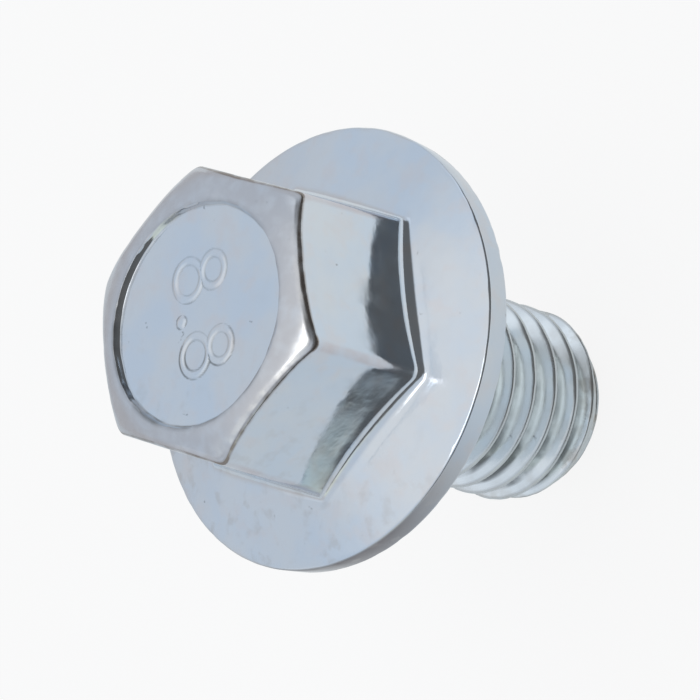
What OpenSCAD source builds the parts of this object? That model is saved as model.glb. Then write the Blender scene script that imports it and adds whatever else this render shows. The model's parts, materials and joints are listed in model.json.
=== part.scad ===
// Hexagon flange bolt, one forged piece: a hexagon head with an indented, domed crown,
// a conical flange that stands in for a washer, and a short shank with a chamfered tip.
// The shank is drawn plain at the diameter over the thread's crests.
// It stands on its tip: the origin is the centre of the tip's end face and +Z runs to the head.

/* [Shank] */
// Diameter over the thread's crests
thread_d = 8; // [6:0.1:9]
// Distance from the flat end of the tip to the flange's bearing face
shank_l = 11.65; // [8:0.05:40]
// Diameter of the flat end of the tip
tip_d = 6.4; // [4:0.1:7.5]
// Slope of the tip's chamfer, measured from the end face
tip_angle = 57; // [30:1:65]
// Diameter of the neck where the thread runs out under the flange
neck_d = 7.2; // [6:0.1:7.8]
// Length of the neck
neck_l = 1.2; // [0.8:0.1:3]
// Fillet between the neck and the bearing face
neck_fillet = 0.4; // [0.1:0.05:0.7]

/* [Flange] */
// Largest diameter of the flange, at the upper edge of its rim
flange_d = 17.9; // [15:0.1:24]
// Height of the rim
rim_h = 1.2; // [0.8:0.1:3]
// How much narrower the rim is at the bearing face, on the diameter
rim_taper = 0.25; // [0:0.05:0.6]
// Rounding of the rim's two edges
rim_round = 0.25; // [0.05:0.05:0.4]
// Slope of the flange's upper side
flange_angle = 16.5; // [5:0.5:22]

/* [Head] */
// Height from the bearing face to the top of the crown
head_h = 8.3; // [7:0.1:14]
// Size across the flats where they meet the flange
hex_af = 11.2; // [10.2:0.1:12.2]
// Slope of the flats towards the axis
hex_draft = 1.3; // [0:0.1:4]
// Size across the corners where they meet the flange, which the forging leaves blunt
hex_ac = 12.75; // [11.8:0.05:14]
// Fillet between the flats and the flange
foot_fillet = 0.65; // [0.3:0.05:1]
// Radius of the domed crown, in section
crown_r = 3.2; // [2.8:0.1:6]
// Diameter of the circle that the crown's section is drawn about
crown_circle_d = 8.4; // [6:0.1:9]

/* [Indent] */
// Diameter of the indent in the crown, at its edge
indent_d = 9; // [4:0.1:9.6]
// Diameter of the indent's floor
indent_floor_d = 8.75; // [3:0.05:8.9]
// Depth of the floor below the top of the crown
indent_depth = 0.27; // [0.1:0.01:1]

/* [Output] */
// Which piece to show

/* [Hidden] */
$fa = 3;
$fs = 0.1;
bearing_z = shank_l;
top_z = bearing_z + head_h;
tip_chamfer_h = (thread_d - tip_d) / 2 * tan(tip_angle);
neck_slope_h = (thread_d - neck_d) / 2;
flange_r = flange_d / 2;
bearing_r = flange_r - rim_taper / 2;
// Height at which the middle of a flat meets the flange
foot_z = bearing_z + rim_h + (flange_r - hex_af / 2) * tan(flange_angle);
// The core lies this far inside the flats, so that only its fillet shows
core_inset = 0.12;
core_r = hex_af / 2 - core_inset;
core_z = bearing_z + rim_h + (flange_r - core_r) * tan(flange_angle);
// The head's blank starts inside the flange, and its corners lean in with the flats
blank_z = bearing_z + rim_h / 2;
corner_slope = tan(hex_draft) / cos(30);
metal = [0.74, 0.77, 0.81];

function unit(v) = v / norm(v);
function point(corners, i) = let (c = corners[(i + len(corners)) % len(corners)]) [c[0], c[1]];
function to_last(corners, i) = unit(point(corners, i - 1) - point(corners, i));
function to_next(corners, i) = unit(point(corners, i + 1) - point(corners, i));
function half_angle(corners, i) = acos(to_last(corners, i) * to_next(corners, i)) / 2;
function turn(corners, i) = cross(to_next(corners, i), to_last(corners, i));
function cut_back(corners, i) = corners[i][2] / tan(half_angle(corners, i));

// The two points where the rounding of a corner begins and ends, or the corner itself
function corner_points(corners, i) =
    corners[i][2] == 0
        ? [point(corners, i)]
        : [
            point(corners, i) + to_last(corners, i) * cut_back(corners, i),
            point(corners, i) + to_next(corners, i) * cut_back(corners, i)
        ];

module corner_circle(corners, i) {
    middle = unit(to_last(corners, i) + to_next(corners, i));
    translate(point(corners, i) + middle * corners[i][2] / sin(half_angle(corners, i)))
        circle(r = corners[i][2]);
}

// A section from corners [radius, height, rounding], listed anticlockwise
module rounded_section(corners) {
    last = len(corners) - 1;
    difference() {
        union() {
            polygon([for (i = [0:last]) each corner_points(corners, i)]);
            for (i = [0:last])
                if (corners[i][2] > 0 && turn(corners, i) > 0)
                    corner_circle(corners, i);
        }
        for (i = [0:last])
            if (corners[i][2] > 0 && turn(corners, i) < 0)
                corner_circle(corners, i);
    }
}

// Shank, flange and the round core of the head, whose fillet rises on to the flats
module shank_and_flange() {
    rotate_extrude()
        rounded_section([
            [0, 0, 0],
            [tip_d / 2, 0, 0],
            [thread_d / 2, tip_chamfer_h, 0],
            [thread_d / 2, bearing_z - neck_l - neck_slope_h, 0],
            [neck_d / 2, bearing_z - neck_l, 0],
            [neck_d / 2, bearing_z, neck_fillet],
            [bearing_r, bearing_z, rim_round],
            [flange_r, bearing_z + rim_h, rim_round],
            [core_r, core_z, foot_fillet],
            [core_r, core_z + 2 * foot_fillet, 0],
            [0, core_z + 2 * foot_fillet, 0]
        ]);
}

// The round blank that the flats are pressed into: blunt corners, domed crown and indent
module head_blank() {
    low_r = hex_ac / 2 + (foot_z - blank_z) * corner_slope;
    high_r = hex_ac / 2 - (top_z - foot_z) * corner_slope;
    rotate_extrude()
        difference() {
            intersection() {
                polygon([[0, blank_z], [low_r, blank_z], [high_r, top_z], [0, top_z]]);
                union() {
                    square([low_r, top_z - crown_r]);
                    square([crown_circle_d / 2, top_z]);
                    translate([crown_circle_d / 2, top_z - crown_r])
                        circle(r = crown_r);
                }
            }
            indent_section();
        }
}

// What the dies press away beside one flat, which leans in by the draft
module flat_cut() {
    translate([hex_af / 2, 0, foot_z])
        rotate([0, -hex_draft, 0])
            translate([0, -hex_ac, -head_h])
                cube([hex_ac, 2 * hex_ac, 3 * head_h]);
}

// The flats face X and the directions sixty degrees on, so that a corner is towards -Y
module hex_head() {
    difference() {
        head_blank();
        for (i = [0:5])
            rotate([0, 0, 60 * i])
                flat_cut();
    }
}

module indent_section() {
    floor_z = top_z - indent_depth;
    polygon([
        [0, floor_z],
        [indent_floor_d / 2, floor_z],
        [indent_d / 2, top_z],
        [indent_d / 2, top_z + 1],
        [0, top_z + 1]
    ]);
}

module flange_bolt() {
    color(metal)
        union() {
            shank_and_flange();
            hex_head();
        }
}

flange_bolt();
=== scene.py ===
"""Looks of a short, bright zinc-plated hexagon flange bolt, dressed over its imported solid.

The bolt is made as the real one is: a turned blank, a hexagon pressed into its head,
a strength class raised in the indent of the crown, and a thread rolled on to the shank.
"""

import json
import math
from collections import namedtuple

import bmesh
import bpy
from mathutils import Matrix, Vector, noise
from mathutils.kdtree import KDTree


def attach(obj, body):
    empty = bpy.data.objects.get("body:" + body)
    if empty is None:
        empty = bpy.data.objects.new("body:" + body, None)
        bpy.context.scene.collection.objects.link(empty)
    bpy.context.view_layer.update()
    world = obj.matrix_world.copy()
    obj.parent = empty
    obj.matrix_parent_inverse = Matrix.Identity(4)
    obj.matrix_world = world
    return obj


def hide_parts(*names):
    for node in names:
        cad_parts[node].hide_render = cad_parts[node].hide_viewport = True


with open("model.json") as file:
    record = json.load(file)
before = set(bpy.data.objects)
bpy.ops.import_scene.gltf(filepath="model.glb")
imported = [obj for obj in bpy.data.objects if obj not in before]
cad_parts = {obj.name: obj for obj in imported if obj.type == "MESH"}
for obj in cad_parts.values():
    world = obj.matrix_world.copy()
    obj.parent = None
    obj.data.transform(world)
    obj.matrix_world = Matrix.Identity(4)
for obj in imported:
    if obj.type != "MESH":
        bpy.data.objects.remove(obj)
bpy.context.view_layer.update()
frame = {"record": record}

MM = 0.001
NODE = "flange_bolt"
PIECE = "forged_bolt"
FULL_TURN = 2 * math.pi
SIXTH = FULL_TURN / 6

# Sizes that follow the solid's
mounts = {mount["name"]: mount for mount in frame["record"]["mounts"]}
BEARING_Z = mounts["bearing_face"]["pos_m"][2]
THREAD_R = mounts["thread"]["dims"]["r_mm"] * MM
FLANGE_R = 8.95 * MM
BEARING_R = 8.825 * MM
RIM_H = 1.2 * MM
RIM_TOP_Z = BEARING_Z + RIM_H
CONE_SLOPE = math.tan(math.radians(16.5))
FLAT_REACH = 5.6 * MM
FLAT_LEAN = math.tan(math.radians(1.3))
HEAD_H = 8.3 * MM
CROWN_R = 3.2 * MM
CROWN_CIRCLE_R = 4.2 * MM
CROWN_Z = BEARING_Z + HEAD_H - CROWN_R
INDENT_R = 4.5 * MM
INDENT_FLOOR_R = 4.38 * MM
INDENT_DEPTH = 0.27 * MM
INDENT_FLOOR_Z = BEARING_Z + HEAD_H - INDENT_DEPTH
NECK_R = 3.6 * MM
TIP_R = 3.2 * MM
TIP_SLOPE = 1 / math.tan(math.radians(57))

# Roundings of the forged edges, and the soft shoulder inside the crown's edge
CROWN_CORNER_ROUND = 0.5 * MM
FOOT_CORNER_ROUND = 0.3 * MM
FLOOR_ROUND = 0.07 * MM
INDENT_EDGE_ROUND = 0.04 * MM
SHOULDER_ROUND = 0.8 * MM
SHOULDER_ROOM = 0.13 * MM
SHOULDER_W = 0.28 * MM
SHOULDER_DROP = 0.06 * MM
CROWN_EDGE_ROUND = 0.3 * MM
FOOT_ROUND = 0.65 * MM
CORNER_FOOT_ROUND = 0.5 * MM
RIM_TOP_ROUND = 0.14 * MM
RIM_LOW_ROUND = 0.3 * MM
NECK_ROUND = 0.4 * MM
TIP_ROUND = 0.1 * MM

# Fineness of the mesh
COLUMNS = 288
ROUND_STEPS = 6
FLOOR_STEPS = 80
CROWN_STEPS = 9
FLAT_STEPS = 14
CONE_STEPS = 14
UNDER_STEPS = 8
NARROW_STEPS = 2
THREAD_COLUMNS = 128
PROFILE_STEPS = 24
SETTLING_ROUNDS = 12
MERGE_DISTANCE = 0.0005 * MM

# Unevenness of the forged faces, in waves per millimetre and depth
WAVE_FINENESS = 0.55
WAVE_DEPTH = 0.008 * MM
RIPPLE_FINENESS = 1.9
RIPPLE_DEPTH = 0.003 * MM
NICK_FINENESS = 2.2
NICK_DEPTH = 0.03 * MM

# The punch that pressed the indent sat off centre and left an uneven edge
INDENT_SHIFT = Vector((-0.16 * MM, 0))
PUNCH_FINENESS = 7.0
PUNCH_DEPTH = 0.035 * MM
PUNCH_WIDTH = 0.4 * MM

# Rolled thread, which starts below the tip and is cut off at the seam under the neck
PITCH = 1.25 * MM
THREAD_DEPTH = 0.767 * MM
CREST_SHARE = 0.125
ROOT_SHARE = 0.14
THREAD_SOFTNESS = 0.09
THREAD_START = 0.46
RUN_OUT = 1.6 * MM
THREAD_TOP = BEARING_Z - 2 * NECK_ROUND
SEAM_H = 0.1 * MM
SEAM_Z = THREAD_TOP - SEAM_H
TURNS_BELOW = 3
THREAD_TURNS = 12

# Raised strength class, read along MARK_TURN
MARK_CENTRE = Vector((0.0, -0.2 * MM))
MARK_TURN = math.radians(210)
MARK_HEIGHT = 0.05 * MM
STROKE_W = 0.18 * MM
STROKE_SOFTNESS = 0.09 * MM
DIGIT_OFFSET = 1.57 * MM
LOOP_OFFSET = 0.68 * MM
LOW_LOOP = (0.78 * MM, 0.71 * MM)
HIGH_LOOP = (0.66 * MM, 0.6 * MM)
DOT_PLACE = Vector((0.0, -1.24 * MM))
DOT_R = 0.12 * MM

# Wear of the thread's crests and painted shade in its grooves, in shares of its depth, with more
# painted shade towards -X
CREST_WEAR = (0.02, 0.2)
UNSHADED_DEPTH = 0.62
UNSHADED_DEPTH_LOW_SIDE = 0.38
SHADE_RISE = 0.15

# Wear of the head's edges and painted shade in its creases: the bend of the skin round a vertex, in
# radians, at which they set in and are full, and the upward part of the normal at which a skin sets
# in and is full
SHARP_BEND = (0.1, 0.6)
# painted shade along the line that the punch pressed round the indent
PUNCH_SHADE = 0.7
PUNCH_LINE = 0.18 * MM
CROWN_RISE = (0.3, 0.7)
EDGE_RISE = (0.1, 0.35)
SHOULDER_RISE = (0.7, 0.8)
SHOULDER_REACH = 1.5 * SHOULDER_W

# Colours of the finish
PASSIVATION_BLUE = (0.66, 0.74, 0.83, 1)
ZINC_GREY = (0.71, 0.755, 0.8, 1)
CROWN_GREY = (0.585, 0.597, 0.63, 1)
# painted shade on the flange rim, darkest on its -X side
RIM_SHADE_GREY = (0.18, 0.16, 0.16, 1)
# zinc of the shank, painted lighter to lift its flanks, which the flange shades
THREAD_ZINC_LIGHTENED = (0.89, 0.94, 0.955, 1)
# painted shade that dims the bright reflection on the thread's crests
CREST_SHADE_GREY = (0.55, 0.59, 0.61, 1)
FLECK = (0.52, 0.5, 0.48, 1)
# dark of the painted shade in grooves and creases, and of the random dark specks
GRIME_AND_SHADE = (0.13, 0.14, 0.14, 1)
# painted dark line, brownish, along the crown's edge
EDGE_SHADE_BROWN = (0.3, 0.27, 0.25, 1)
STAIN = (0.4, 0.34, 0.26, 1)
# rubbed bare metal and a painted highlight on the crown's shoulder, towards the front and -X
BARE_EDGE_AND_HIGHLIGHT = (0.94, 0.93, 0.89, 1)
BLUSH = (0.73, 0.71, 0.72, 1)
CORNER_ROSE = (0.62, 0.56, 0.57, 1)
THREAD_COVER = 0.95
CREST_COVER = 0.75

# Blotches of the finish: waves per metre, detail and seed of a noise, the values of the noise
# at which a blotch starts and is full, and how strong it is there
Blotch = namedtuple("Blotch", "fineness detail seed start full least most")
CLOUDS = Blotch(420, 4, 1, 0.36, 0.64, 0, 1)
BLUSHES = Blotch(1000, 5, 10, 0.48, 0.7, 0, 0.5)
MOTTLE = Blotch(1500, 4, 2, 0.3, 0.6, 0.6, 1)
RUBS_AND_HIGHLIGHT = Blotch(2200, 4, 11, 0.35, 0.65, 0.2, 0.8)
SCUFFS = Blotch(800, 4, 12, 0.3, 0.7, 0.1, 0.7)
STAINS = Blotch(1100, 4, 3, 0.5, 0.66, 0, 0.55)
FLECKS = Blotch(1500, 4, 8, 0.52, 0.7, 0, 0.35)
# patches of painted shade
SHADE_PATCHES = Blotch(700, 3, 4, 0.35, 0.6, 0.2, 0.9)
EDGE_SHADE_SMEARS = Blotch(1300, 3, 9, 0.35, 0.6, 0.6, 2)
SPECKS = Blotch(2400, 3, 5, 0.69, 0.77, 0, 0.5)
HAZE = Blotch(900, 5, 6, 0.35, 0.7, 0.06, 0.15)

# Fades along one axis: where each starts and ends, and its share at the start and at the end
Fade = namedtuple("Fade", "axis start end first last")
ON_SHANK = Fade("Z", BEARING_Z - 0.2 * MM, BEARING_Z, 1, 0)
NEAR_TIP = Fade("Z", 0, 3 * MM, 1, 0.15)
# the -X side, which carries painted shade
ON_SHADED_SIDE = Fade("X", -8 * MM, 0, 1, 0.1)
# where the painted highlight on the crown's shoulder lies: the front and the -X side
HIGHLIGHT_FRONT = Fade("Y", -4 * MM, -2 * MM, 1, 0)
HIGHLIGHT_SIDE = Fade("X", -2 * MM, 4 * MM, 1, 0.3)
# painted shade in the grooves, stronger towards -X
SHADE_SIDE = Fade("X", -3 * MM, 3 * MM, 1, 0.35)

# Roughness that some skins add to the haze, and the fine grain of the plating
CROWN_ROUGHNESS = 0.1
WORN_ROUGHNESS = 0.06
SHANK_ROUGHNESS = 0.1
GRAIN_FINENESS = 3200
GRAIN_DETAIL = 5
GRAIN_SEED = 7
GRAIN_STRENGTH = 0.3
GRAIN_DEPTH = 0.01 * MM

# Floor: its own colour, its glow in the metal from -X to +X, and the share of the glow that is seen
WHITE = (1, 1, 1, 1)
FLOOR_SIZE = 3
FLOOR_GREY = (0.9, 0.9, 0.9, 1)
DIM_GLOW = (0.72, 0.77, 0.81, 1)
BRIGHT_GLOW = (0.97, 1, 1, 1)
GLOW_ACROSS = Fade("X", -30 * MM, 30 * MM, 0, 1)
FLOOR_TO_CAMERA = 0.88
FLOOR_TO_METAL = 0.56

# Room that lights the bolt and is mirrored in it, by directions from its middle
FRONT_WALL = (0.76, 0.8, 0.72, 1)
BACK_WALL = (0.58, 0.58, 0.6, 1)
HIGH_WALL = (0.62, 0.67, 0.74, 1)
CEILING = (0.84, 0.85, 0.87, 1)
DARKNESS = (0.09, 0.09, 0.09, 1)
FRONT_TO_BACK = Fade("Y", -0.5, 0.2, 0, 1)
LOW_TO_HIGH = Fade("Z", 0.1, 0.5, 0, 1)
HIGH_TO_CEILING = Fade("Z", 0.7, 0.95, 0, 1)
DarkSide = namedtuple("DarkSide", "aim start full")
DARK_FRONT = DarkSide((0.3, -0.75, -0.6), 0.05, 0.12)
DARK_RIGHT = DarkSide((0.7, -0.62, 0.36), 0.66, 0.82)
ROOM_TO_CAMERA = 1.0
ROOM_TO_METAL = 0.06

# Softboxes, which all face the origin: direction, width and height in metres, and power in watts
SOFTBOX_DISTANCE = 0.4
Softbox = namedtuple("Softbox", "name direction size power")
SOFTBOXES = [
    Softbox("key_softbox", (-0.08, -0.26, 0.96), (0.18, 0.12), 0.09),
    Softbox("right_softbox", (0.72, 0.22, 0.66), (0.12, 0.12), 0.007),
    Softbox("left_softbox", (-0.74, 0.53, 0.42), (0.12, 0.12), 0.003),
]

# Camera, with its sensor and lens in millimetres as Blender takes them
CAMERA_AZIMUTH = math.radians(-90.48)
CAMERA_ELEVATION = math.radians(44.09)
CAMERA_ROLL = math.radians(-73.44)
CAMERA_DISTANCE = 248.4 * MM
CAMERA_AIM = Vector((0.212, -0.002, 11.379)) * MM
SENSOR_WIDTH = 36
LENS = 322.8
CLIP_START = 0.01


def mix(low, high, share):
    return low + (high - low) * share


def soft_step(value, low, high):
    """0 below low, 1 above high, and a smooth rise between."""
    share = min(max((value - low) / (high - low), 0.0), 1.0)
    return share * share * (3 - 2 * share)


def bend(value, softness):
    """0 below zero, the value itself above, and a rounded turn between."""
    if value <= -softness:
        return 0.0
    if value >= softness:
        return value
    return (value + softness) ** 2 / (4 * softness)


def crown_height(radius):
    return CROWN_Z + math.sqrt(max(CROWN_R**2 - (radius - CROWN_CIRCLE_R) ** 2, 0.0))


def cone_height(radius):
    return RIM_TOP_Z + (FLANGE_R - radius) * CONE_SLOPE


FOOT_Z = cone_height(FLAT_REACH)
FOOT_TOP_Z = FOOT_Z + FOOT_ROUND


def flat_reach(height):
    """Distance of a flat from the axis, which the draft lessens upwards."""
    return FLAT_REACH - (height - FOOT_Z) * FLAT_LEAN


def flat_end(surface, spread):
    """Where a flat, spread towards a corner, meets the crown or the cone."""
    height = FOOT_Z
    for _ in range(SETTLING_ROUNDS):
        height = surface(spread * flat_reach(height))
    return Vector((spread * flat_reach(height), height))


def corner_spread(angle, rounding):
    """How much further than a flat's middle the blunt hexagon reaches in a direction."""
    beside_flat = abs((angle + SIXTH / 2) % SIXTH - SIXTH / 2)
    inner = FLAT_REACH - rounding
    if beside_flat <= math.atan(inner * math.tan(SIXTH / 2) / FLAT_REACH):
        return 1 / math.cos(beside_flat)
    beside_corner = SIXTH / 2 - beside_flat
    centre = inner / math.cos(SIXTH / 2)
    sideways = centre * math.sin(beside_corner)
    reach = centre * math.cos(beside_corner) + math.sqrt(rounding**2 - sideways**2)
    return reach / FLAT_REACH


def round_corner(last, corner, following, radius):
    """Points of the arc that rounds a corner of a section."""
    back = (last - corner).normalized()
    forth = (following - corner).normalized()
    half = back.angle(forth) / 2
    centre = corner + (back + forth).normalized() * radius / math.sin(half)
    start = corner + back * radius / math.tan(half) - centre
    end = corner + forth * radius / math.tan(half) - centre
    sweep = start.angle_signed(end)
    points = []
    for step in range(ROUND_STEPS + 1):
        turn = -sweep * step / ROUND_STEPS
        points.append(centre + Matrix.Rotation(turn, 2) @ start)
    return points


def head_section(crown_spread, foot_spread):
    """Section from the middle of the indent to the neck under the flange, as (radius, height).

    Each corner has a rounding and the number of steps to the next corner.
    """
    crown_edge = flat_end(crown_height, crown_spread)
    shoulder_r = crown_edge.x - SHOULDER_W
    crown_edge.y -= SHOULDER_DROP
    foot = flat_end(cone_height, foot_spread)
    to_corner = soft_step(foot_spread, 1, 1 / math.cos(SIXTH / 2))
    foot_round = mix(FOOT_ROUND, CORNER_FOOT_ROUND, to_corner)
    corners = [
        (Vector((0, INDENT_FLOOR_Z)), 0, FLOOR_STEPS),
        (Vector((INDENT_FLOOR_R, INDENT_FLOOR_Z)), FLOOR_ROUND, NARROW_STEPS),
        (Vector((INDENT_R, crown_height(INDENT_R))), INDENT_EDGE_ROUND, 1),
    ]
    for step in range(1, CROWN_STEPS):
        radius = mix(INDENT_R, shoulder_r - SHOULDER_ROOM, step / (CROWN_STEPS - 1))
        corners.append((Vector((radius, crown_height(radius))), 0, 1))
    corners += [
        (Vector((shoulder_r, crown_height(shoulder_r))), SHOULDER_ROUND, NARROW_STEPS),
        (crown_edge, CROWN_EDGE_ROUND, FLAT_STEPS),
        (foot, foot_round, CONE_STEPS),
        (Vector((FLANGE_R, RIM_TOP_Z)), RIM_TOP_ROUND, NARROW_STEPS),
        (Vector((BEARING_R, BEARING_Z)), RIM_LOW_ROUND, UNDER_STEPS),
        (Vector((NECK_R, BEARING_Z)), NECK_ROUND, 1),
        (Vector((NECK_R, THREAD_TOP)), 0, 0),
    ]
    points = []
    for i, (corner, rounding, _) in enumerate(corners):
        if rounding:
            arc = round_corner(corners[i - 1][0], corner, corners[i + 1][0], rounding)
        else:
            arc = [corner]
        if points:
            run = corners[i - 1][2]
            start = points[-1]
            points += [start.lerp(arc[0], step / run) for step in range(1, run)]
        points += arc
    return points


def add_outline(shape, section):
    """A line of vertices and edges, ready to be spun."""
    outline = [shape.verts.new((point.x, 0, point.y)) for point in section]
    edges = [shape.edges.new(pair) for pair in zip(outline, outline[1:])]
    return outline + edges


def loop_distance(place, centre_up, loop):
    """Distance from the line of one loop of a figure eight."""
    across, high = loop
    away = Vector((place.x / across, (place.y - centre_up) / high))
    return abs(away.length - 1) * min(across, high)


def mark_height(place):
    """Height of the raised figures at a place on the indent's floor."""
    right = Vector((math.cos(MARK_TURN), math.sin(MARK_TURN)))
    up = Vector((-right.y, right.x))
    offset = place - MARK_CENTRE
    read = Vector((offset.dot(right), offset.dot(up)))
    nearest = max((read - DOT_PLACE).length - DOT_R, 0.0)
    for side in (-1, 1):
        digit = Vector((read.x - side * DIGIT_OFFSET, read.y))
        nearest = min(nearest, loop_distance(digit, -LOOP_OFFSET, LOW_LOOP))
        nearest = min(nearest, loop_distance(digit, LOOP_OFFSET, HIGH_LOOP))
    outside = soft_step(nearest, STROKE_W / 2 - STROKE_SOFTNESS, STROKE_W / 2 + STROKE_SOFTNESS)
    return MARK_HEIGHT * (1 - outside)


def forge_head():
    """Turns the head's section, then presses the hexagon and the marked indent into it."""
    blank_section = head_section(1.0, 1.0)
    rows = KDTree(len(blank_section))
    for row, point in enumerate(blank_section):
        rows.insert((point.x, point.y, 0), row)
    rows.balance()
    head = bmesh.new()
    bmesh.ops.spin(
        head,
        geom=add_outline(head, blank_section),
        cent=(0, 0, 0),
        axis=(0, 0, 1),
        angle=FULL_TURN,
        steps=COLUMNS,
        use_merge=True,
    )
    sections = {}
    for vert in head.verts:
        row = rows.find((math.hypot(vert.co.x, vert.co.y), vert.co.z, 0))[1]
        column = round(math.atan2(vert.co.y, vert.co.x) / FULL_TURN * COLUMNS) % COLUMNS
        angle = column / COLUMNS * FULL_TURN
        if column not in sections:
            sections[column] = head_section(
                corner_spread(angle, CROWN_CORNER_ROUND), corner_spread(angle, FOOT_CORNER_ROUND)
            )
        radius, height = sections[column][row]
        way = Vector((math.cos(angle), math.sin(angle)))
        place = way * radius
        if height > FOOT_TOP_Z:
            place += INDENT_SHIFT * (1 - soft_step(radius, INDENT_R, FLAT_REACH))
            by_punch = 1 - soft_step(abs(radius - INDENT_R), 0, PUNCH_WIDTH)
            place += way * by_punch * PUNCH_DEPTH * noise.noise((way * PUNCH_FINENESS).to_3d())
            if radius < INDENT_FLOOR_R:
                height += mark_height(place)
        vert.co = (place.x, place.y, height)
    return head


def tip_reach(height):
    """Radius of the tip's chamfer."""
    return TIP_R + height * TIP_SLOPE


def thread_profile(share):
    """Radius of the thread at a share of its pitch, with the crest in the middle."""
    from_crest = abs(share - 0.5)
    fall = (from_crest - CREST_SHARE / 2) / (0.5 - CREST_SHARE / 2 - ROOT_SHARE / 2)
    groove = bend(fall, THREAD_SOFTNESS) - bend(fall - 1, THREAD_SOFTNESS)
    return THREAD_R - THREAD_DEPTH * groove


def roll_thread():
    """Screws one pitch of the thread's profile through a turn, and stacks copies of that turn."""
    profile = []
    for step in range(PROFILE_STEPS + 1):
        share = step / PROFILE_STEPS
        height = (share + THREAD_START - TURNS_BELOW) * PITCH
        profile.append(Vector((thread_profile(share), height)))
    thread = bmesh.new()
    bmesh.ops.spin(
        thread,
        geom=add_outline(thread, profile),
        cent=(0, 0, 0),
        axis=(0, 0, 1),
        dvec=(0, 0, PITCH / THREAD_COLUMNS),
        angle=FULL_TURN,
        steps=THREAD_COLUMNS,
    )
    first_turn = thread.verts[:] + thread.edges[:] + thread.faces[:]
    for turn in range(1, THREAD_TURNS):
        copy = bmesh.ops.duplicate(thread, geom=first_turn)["geom"]
        copied = [part for part in copy if isinstance(part, bmesh.types.BMVert)]
        bmesh.ops.translate(thread, verts=copied, vec=(0, 0, turn * PITCH))
    return thread


def roll_shank():
    """Runs the thread out to the neck, folds it to the axis at the tip and cuts it at the seam."""
    shank = roll_thread()
    end_fold = TIP_R / PITCH
    for vert in shank.verts:
        height = vert.co.z
        way = vert.co.to_2d().normalized()
        run_out = soft_step(height, THREAD_TOP - RUN_OUT, THREAD_TOP)
        radius = mix(vert.co.to_2d().length, NECK_R, run_out)
        raised = bend(height, TIP_ROUND)
        tip_limit = tip_reach(raised) + end_fold * (height - raised)
        radius = max(min(radius, tip_limit), 0.0)
        vert.co = (way * radius).to_3d()
        vert.co.z = raised
    bmesh.ops.remove_doubles(shank, verts=shank.verts[:], dist=MERGE_DISTANCE)
    bmesh.ops.bisect_plane(
        shank,
        geom=shank.verts[:] + shank.edges[:] + shank.faces[:],
        dist=MERGE_DISTANCE,
        plane_co=(0, 0, SEAM_Z),
        plane_no=(0, 0, 1),
        clear_outer=True,
    )
    return shank


def join_shapes(name, shapes):
    """One closed mesh from shapes that are each open at the seam, with its faces outwards."""
    whole = bmesh.new()
    for shape in shapes:
        bmesh.ops.remove_doubles(shape, verts=shape.verts[:], dist=MERGE_DISTANCE)
        part = bpy.data.meshes.new(name + "_part")
        shape.to_mesh(part)
        shape.free()
        whole.from_mesh(part)
        bpy.data.meshes.remove(part)
    seam = [edge for edge in whole.edges if edge.is_boundary]
    bmesh.ops.bridge_loops(whole, edges=seam)
    bmesh.ops.recalc_face_normals(whole, faces=whole.faces[:])
    for face in whole.faces:
        face.smooth = True
    return whole


def note_edges(bolt):
    """Notes worn edges, grooves and creases that take painted shade, the crown with its edge and
    shoulder, corners and rim.
    """
    worn = bolt.verts.layers.float.new("worn_edge")
    groove_shade_layer = bolt.verts.layers.float.new("groove_shade")
    crown = bolt.verts.layers.float.new("crown_skin")
    crown_edge = bolt.verts.layers.float.new("crown_edge")
    shoulder = bolt.verts.layers.float.new("crown_shoulder")
    corner = bolt.verts.layers.float.new("hexagon_corner")
    rim = bolt.verts.layers.float.new("rim_skin")
    bolt.normal_update()
    for vert in bolt.verts:
        turn = sum(edge.calc_face_angle_signed(0) for edge in vert.link_edges)
        reach = vert.co.to_2d().length
        rise = vert.normal.z
        if vert.co.z < THREAD_TOP:
            groove = (min(THREAD_R, tip_reach(vert.co.z)) - reach) / THREAD_DEPTH
            vert[worn] = 1 - soft_step(groove, *CREST_WEAR)
            low_side = soft_step(-vert.co.x, 0, THREAD_R)
            unshaded_depth = mix(UNSHADED_DEPTH, UNSHADED_DEPTH_LOW_SIDE, low_side)
            # painted shade deep in the thread's grooves, reaching nearer the crests on the -X side
            vert[groove_shade_layer] = soft_step(groove, unshaded_depth, unshaded_depth + SHADE_RISE)
        else:
            vert[worn] = soft_step(turn, *SHARP_BEND)
        # the rim, which carries painted shade on its -X side
        if BEARING_Z < vert.co.z < RIM_TOP_Z and reach > BEARING_R - RIM_LOW_ROUND:
            vert[rim] = 1 - abs(rise)
        if vert.co.z > FOOT_TOP_Z:
            off_middle = (vert.co.to_2d() - INDENT_SHIFT).length
            punched = 1 - soft_step(abs(off_middle - INDENT_R), 0, PUNCH_LINE)
            # painted shade in the head's creases and along the punched line round the indent
            vert[groove_shade_layer] = max(soft_step(-turn, *SHARP_BEND), PUNCH_SHADE * punched)
            outside = soft_step(off_middle, INDENT_FLOOR_R, INDENT_R + INDENT_EDGE_ROUND)
            vert[crown] = outside * soft_step(rise, *CROWN_RISE)
            spread = corner_spread(math.atan2(vert.co.y, vert.co.x), CROWN_CORNER_ROUND)
            inset = flat_reach(vert.co.z) - reach / spread
            near_edge = 1 - soft_step(inset, SHOULDER_W / 2, SHOULDER_REACH)
            vert[crown_edge] = near_edge * vert[worn] * soft_step(rise, *EDGE_RISE)
            past_flat = reach - FLAT_REACH
            at_corner = soft_step(past_flat, -SHOULDER_REACH, SHOULDER_REACH)
            vert[shoulder] = max(near_edge, at_corner) * soft_step(rise, *SHOULDER_RISE)
            vert[corner] = vert[worn] * (1 - soft_step(rise, *EDGE_RISE))


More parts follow.
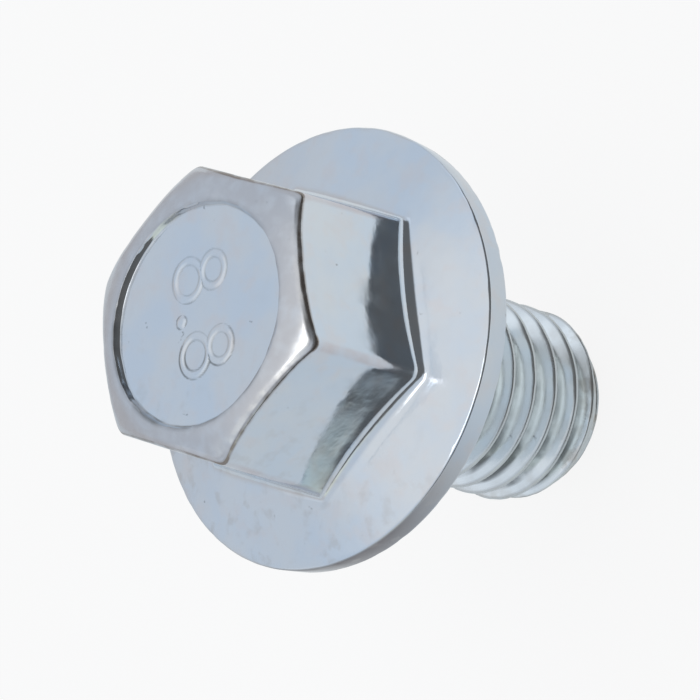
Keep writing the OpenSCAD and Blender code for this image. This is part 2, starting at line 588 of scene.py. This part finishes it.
def roughen(bolt):
    """The slight unevenness that forging and tumbling leave, pressed into the skin."""
    worn = bolt.verts.layers.float["worn_edge"]
    for vert in bolt.verts:
        place = vert.co / MM
        wave = (1 + noise.noise(place * WAVE_FINENESS)) * WAVE_DEPTH
        ripple = (1 + noise.noise(place * RIPPLE_FINENESS)) * RIPPLE_DEPTH
        nick = max(noise.noise(place * NICK_FINENESS), 0.0) * NICK_DEPTH * vert[worn]
        clear_of_tip = soft_step(vert.co.z, 0, THREAD_R - TIP_R)
        vert.co -= vert.normal * (wave + ripple + nick) * clear_of_tip


def make_bolt():
    bolt = join_shapes(PIECE, [forge_head(), roll_shank()])
    note_edges(bolt)
    roughen(bolt)
    mesh = bpy.data.meshes.new(PIECE)
    bolt.to_mesh(mesh)
    bolt.free()
    piece = bpy.data.objects.new(PIECE, mesh)
    bpy.context.collection.objects.link(piece)
    return piece


class NodeBench:
    """Adds nodes to one tree and wires each to what feeds it."""

    def __init__(self, tree):
        self.nodes = tree.nodes
        self.links = tree.links

    def feed(self, socket, value):
        if isinstance(value, bpy.types.NodeSocket):
            self.links.new(value, socket)
        else:
            socket.default_value = value

    def coordinates(self, kind):
        return self.nodes.new("ShaderNodeTexCoord").outputs[kind]

    def split(self, place):
        """The X, Y and Z of a place or a direction."""
        node = self.nodes.new("ShaderNodeSeparateXYZ")
        self.feed(node.inputs[0], place)
        return node.outputs

    def noise(self, where, fineness, detail, seed):
        """Noise with fineness in waves per metre."""
        node = self.nodes.new("ShaderNodeTexNoise")
        node.noise_dimensions = "4D"
        node.inputs["W"].default_value = seed
        node.inputs["Scale"].default_value = fineness
        node.inputs["Detail"].default_value = detail
        self.feed(node.inputs["Vector"], where)
        return node.outputs["Fac"]

    def ramp(self, value, low, high, to_low=0.0, to_high=1.0):
        """to_low where the value is below low, to_high above high, and a smooth change between."""
        node = self.nodes.new("ShaderNodeMapRange")
        node.interpolation_type = "SMOOTHSTEP"
        node.inputs["From Min"].default_value = low
        node.inputs["From Max"].default_value = high
        node.inputs["To Min"].default_value = to_low
        node.inputs["To Max"].default_value = to_high
        self.feed(node.inputs["Value"], value)
        return node.outputs["Result"]

    def blotches(self, where, blotch):
        field = self.noise(where, blotch.fineness, blotch.detail, blotch.seed)
        return self.ramp(field, blotch.start, blotch.full, blotch.least, blotch.most)

    def fade(self, parts, fade):
        return self.ramp(parts[fade.axis], fade.start, fade.end, fade.first, fade.last)

    def combine(self, operation, first, second):
        node = self.nodes.new("ShaderNodeMath")
        node.operation = operation
        self.feed(node.inputs[0], first)
        self.feed(node.inputs[1], second)
        return node.outputs[0]

    def times(self, first, *others):
        product = first
        for other in others:
            product = self.combine("MULTIPLY", product, other)
        return product

    def tint(self, share, first, second):
        """Mixes two colours."""
        node = self.nodes.new("ShaderNodeMixRGB")
        self.feed(node.inputs["Fac"], share)
        self.feed(node.inputs["Color1"], first)
        self.feed(node.inputs["Color2"], second)
        return node.outputs["Color"]

    def facing(self, direction, aim):
        """How far a direction points towards an aim, from -1 to 1."""
        node = self.nodes.new("ShaderNodeVectorMath")
        node.operation = "DOT_PRODUCT"
        node.inputs[1].default_value = Vector(aim).normalized()
        self.feed(node.inputs[0], direction)
        return node.outputs["Value"]

    def noted(self, name):
        """What note_edges wrote on the mesh."""
        node = self.nodes.new("ShaderNodeAttribute")
        node.attribute_name = name
        return node.outputs["Fac"]


def new_material(name):
    material = bpy.data.materials.new(name)
    material.use_nodes = True
    return material, NodeBench(material.node_tree), material.node_tree.nodes["Principled BSDF"]


def zinc_finish():
    """Bright zinc plate with a pale blue passivation, clouded, specked and worn at its edges, with
    painted shade, a painted highlight and a shank painted lighter.
    """
    material, bench, shader = new_material("zinc_plate_finish")
    shader.inputs["Metallic"].default_value = 1.0
    where = bench.coordinates("Object")
    parts = bench.split(where)
    shank = bench.fade(parts, ON_SHANK)
    shaded_side = bench.fade(parts, ON_SHADED_SIDE)
    worn = bench.noted("worn_edge")
    crown = bench.noted("crown_skin")

    mottle = bench.times(crown, bench.blotches(where, MOTTLE))
    # rubbed bare metal and a painted highlight on the crown's shoulder, at the front and towards -X
    highlight_place = bench.times(bench.fade(parts, HIGHLIGHT_FRONT), bench.fade(parts, HIGHLIGHT_SIDE))
    rubs_and_highlight = bench.times(bench.noted("crown_shoulder"), bench.blotches(where, RUBS_AND_HIGHLIGHT), highlight_place)
    scuffs = bench.times(bench.noted("hexagon_corner"), bench.blotches(where, SCUFFS))
    # painted shade on the rim towards -X
    shaded_rim = bench.times(bench.noted("rim_skin"), shaded_side)
    stains = bench.times(bench.blotches(where, STAINS), shank, bench.fade(parts, NEAR_TIP))
    # brown flecks, gathered towards -X, where they add to the painted shade
    flecks_and_shade = bench.times(bench.blotches(where, FLECKS), shaded_side)
    # patches of painted shade, stronger towards -X
    shade_patches = bench.times(bench.blotches(where, SHADE_PATCHES), bench.fade(parts, SHADE_SIDE))
    # painted dark line along the crown's edge
    edge_shade = bench.times(bench.noted("crown_edge"), bench.blotches(where, EDGE_SHADE_SMEARS))
    layers = [
        (bench.blotches(where, CLOUDS), ZINC_GREY),
        (bench.blotches(where, BLUSHES), BLUSH),
        (mottle, CROWN_GREY),
        (rubs_and_highlight, BARE_EDGE_AND_HIGHLIGHT),
        (scuffs, CORNER_ROSE),
        (shaded_rim, RIM_SHADE_GREY),
        # shank painted lighter than the head, as painted light
        (bench.times(shank, THREAD_COVER), THREAD_ZINC_LIGHTENED),
        # painted shade that dims the crests' reflection
        (bench.times(shank, worn, CREST_COVER), CREST_SHADE_GREY),
        (stains, STAIN),
        (flecks_and_shade, FLECK),
        # painted shade in grooves and creases
        (bench.times(bench.noted("groove_shade"), shade_patches), GRIME_AND_SHADE),
        (edge_shade, EDGE_SHADE_BROWN),
        (bench.blotches(where, SPECKS), GRIME_AND_SHADE),
    ]
    tint = PASSIVATION_BLUE
    for share, colour in layers:
        tint = bench.tint(share, tint, colour)
    bench.feed(shader.inputs["Base Color"], tint)

    haze = bench.blotches(where, HAZE)
    rougher = [(crown, CROWN_ROUGHNESS), (worn, WORN_ROUGHNESS), (shank, SHANK_ROUGHNESS)]
    for skin, roughness in rougher:
        haze = bench.combine("ADD", haze, bench.times(skin, roughness))
    bench.feed(shader.inputs["Roughness"], haze)

    bump = bench.nodes.new("ShaderNodeBump")
    bump.inputs["Strength"].default_value = GRAIN_STRENGTH
    bump.inputs["Distance"].default_value = GRAIN_DEPTH
    grain = bench.noise(where, GRAIN_FINENESS, GRAIN_DETAIL, GRAIN_SEED)
    bench.feed(bump.inputs["Height"], grain)
    bench.feed(shader.inputs["Normal"], bump.outputs["Normal"])
    return material


def seen_share(bench, to_camera, to_metal):
    """The share of a glow that a ray sees, and whether the ray comes from metal or glass."""
    path = bench.nodes.new("ShaderNodeLightPath").outputs
    mirrored = bench.combine("MAXIMUM", path["Is Glossy Ray"], path["Is Transmission Ray"])
    in_camera = bench.times(path["Is Camera Ray"], to_camera)
    in_metal = bench.times(mirrored, to_metal)
    return bench.combine("MAXIMUM", in_camera, in_metal), mirrored


def add_floor():
    """A pale floor that camera and metal see nearly white, with the bolt's shadow on it."""
    bpy.ops.mesh.primitive_plane_add(size=FLOOR_SIZE)
    floor = bpy.context.object
    floor.name = "studio_floor"
    material, bench, shader = new_material("pale_floor")
    shader.inputs["Base Color"].default_value = FLOOR_GREY
    shader.inputs["Roughness"].default_value = 1.0
    shader.inputs["Specular IOR Level"].default_value = 0.0
    seen, mirrored = seen_share(bench, FLOOR_TO_CAMERA, FLOOR_TO_METAL)
    across = bench.fade(bench.split(bench.coordinates("Object")), GLOW_ACROSS)
    in_metal = bench.tint(across, DIM_GLOW, BRIGHT_GLOW)
    glow = bench.nodes.new("ShaderNodeEmission")
    bench.feed(glow.inputs["Color"], bench.tint(mirrored, WHITE, in_metal))
    blend = bench.nodes.new("ShaderNodeMixShader")
    bench.feed(blend.inputs[0], seen)
    bench.feed(blend.inputs[1], shader.outputs[0])
    bench.feed(blend.inputs[2], glow.outputs[0])
    bench.feed(bench.nodes["Material Output"].inputs["Surface"], blend.outputs[0])
    floor.data.materials.append(material)


def dark_share(bench, direction, side):
    return bench.ramp(bench.facing(direction, side.aim), side.start, side.full)


def add_world():
    """A pale room, greenish low in front and bluish higher up, with two dark sides.

    The camera sees it white.
    """
    world = bpy.data.worlds.new("studio")
    bpy.context.scene.world = world
    world.use_nodes = True
    bench = NodeBench(world.node_tree)
    direction = bench.coordinates("Generated")
    parts = bench.split(direction)
    walls = bench.tint(bench.fade(parts, FRONT_TO_BACK), FRONT_WALL, BACK_WALL)
    walls = bench.tint(bench.fade(parts, LOW_TO_HIGH), walls, HIGH_WALL)
    walls = bench.tint(bench.fade(parts, HIGH_TO_CEILING), walls, CEILING)
    dark_front = dark_share(bench, direction, DARK_FRONT)
    dark_right = dark_share(bench, direction, DARK_RIGHT)
    room = bench.tint(bench.combine("MAXIMUM", dark_front, dark_right), walls, DARKNESS)
    seen, _ = seen_share(bench, ROOM_TO_CAMERA, ROOM_TO_METAL)
    bench.feed(bench.nodes["Background"].inputs["Color"], bench.tint(seen, room, WHITE))


def add_softbox(softbox):
    light = bpy.data.lights.new(softbox.name, "AREA")
    light.shape = "RECTANGLE"
    light.size, light.size_y = softbox.size
    light.energy = softbox.power
    lamp = bpy.data.objects.new(softbox.name, light)
    bpy.context.collection.objects.link(lamp)
    lamp.location = Vector(softbox.direction).normalized() * SOFTBOX_DISTANCE
    lamp.rotation_euler = (-lamp.location).to_track_quat("-Z", "Y").to_euler()


def add_camera():
    """The photograph's view: the camera is rolled, so that the bolt lies across the picture."""
    level = Vector((math.cos(CAMERA_AZIMUTH), math.sin(CAMERA_AZIMUTH), 0))
    back = level * math.cos(CAMERA_ELEVATION) + Vector((0, 0, math.sin(CAMERA_ELEVATION)))
    level_right = Vector((0, 0, 1)).cross(back).normalized()
    level_up = back.cross(level_right)
    right = level_right * math.cos(CAMERA_ROLL) + level_up * math.sin(CAMERA_ROLL)
    up = back.cross(right)
    view = bpy.data.cameras.new("photo_camera")
    view.sensor_width = SENSOR_WIDTH
    view.lens = LENS
    view.clip_start = CLIP_START
    camera = bpy.data.objects.new("photo_camera", view)
    bpy.context.collection.objects.link(camera)
    turned = Matrix((right, up, back)).transposed().to_4x4()
    camera.matrix_world = Matrix.Translation(CAMERA_AIM + back * CAMERA_DISTANCE) @ turned
    bpy.context.scene.camera = camera


bolt = make_bolt()
bolt.data.materials.append(zinc_finish())
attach(bolt, "root")
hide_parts(NODE)

add_floor()
add_world()
for softbox in SOFTBOXES:
    add_softbox(softbox)
add_camera()
bpy.context.scene.view_settings.view_transform = "Standard"
